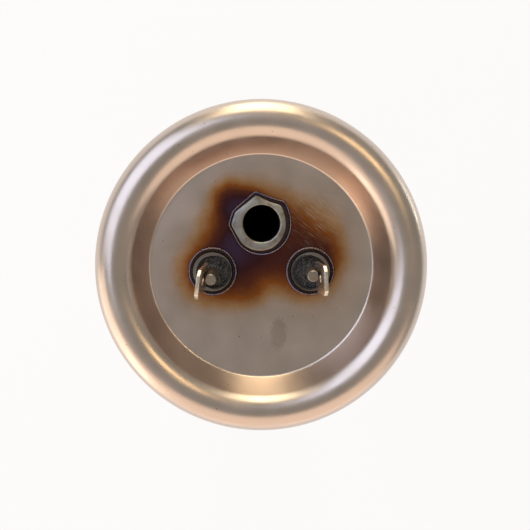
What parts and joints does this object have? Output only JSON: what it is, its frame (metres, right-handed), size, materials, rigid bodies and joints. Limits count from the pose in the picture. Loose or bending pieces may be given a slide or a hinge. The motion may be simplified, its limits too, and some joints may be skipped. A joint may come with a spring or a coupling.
{
  "type": "water heater element",
  "caption": "Immersion heating element on a round dished flange with a rolled rim, quick-connect tabs and a thermostat pocket.",
  "frame": {"origin": "on the flange's axis, at the dry face of the dished plate", "axes": "+Z along the flange's axis, out of the tank on the dry side, +Y from the centre towards the thermostat pocket"},
  "size_m": [0.072, 0.072, 0.3427],
  "materials": {
    "stainless_sheet": "pressed stainless steel with heat tint round the welds",
    "stainless_tube": "drawn stainless steel tube",
    "weld": "smooth oxidised weld bead",
    "pin_steel": "plain steel pin",
    "tab_plated": "nickel-plated brass",
    "seal_resin": "glossy black sealing resin",
    "resistance_wire": "oxidised resistance wire",
    "magnesia": "packed magnesia powder"
  },
  "bodies": {
    "root": {"flange_plate": "stainless_sheet", "heater_sheath": "stainless_tube", "magnesia_fill": "magnesia", "heating_coil": "resistance_wire", "terminal_pin_left": "pin_steel", "terminal_pin_right": "pin_steel", "end_seal_left": "seal_resin", "end_seal_right": "seal_resin", "tab_left": "tab_plated", "tab_right": "tab_plated", "sensor_pocket": "stainless_tube", "weld_bead_left": "weld", "weld_bead_right": "weld", "weld_bead_pocket": "weld"}
  },
  "joints": []
}
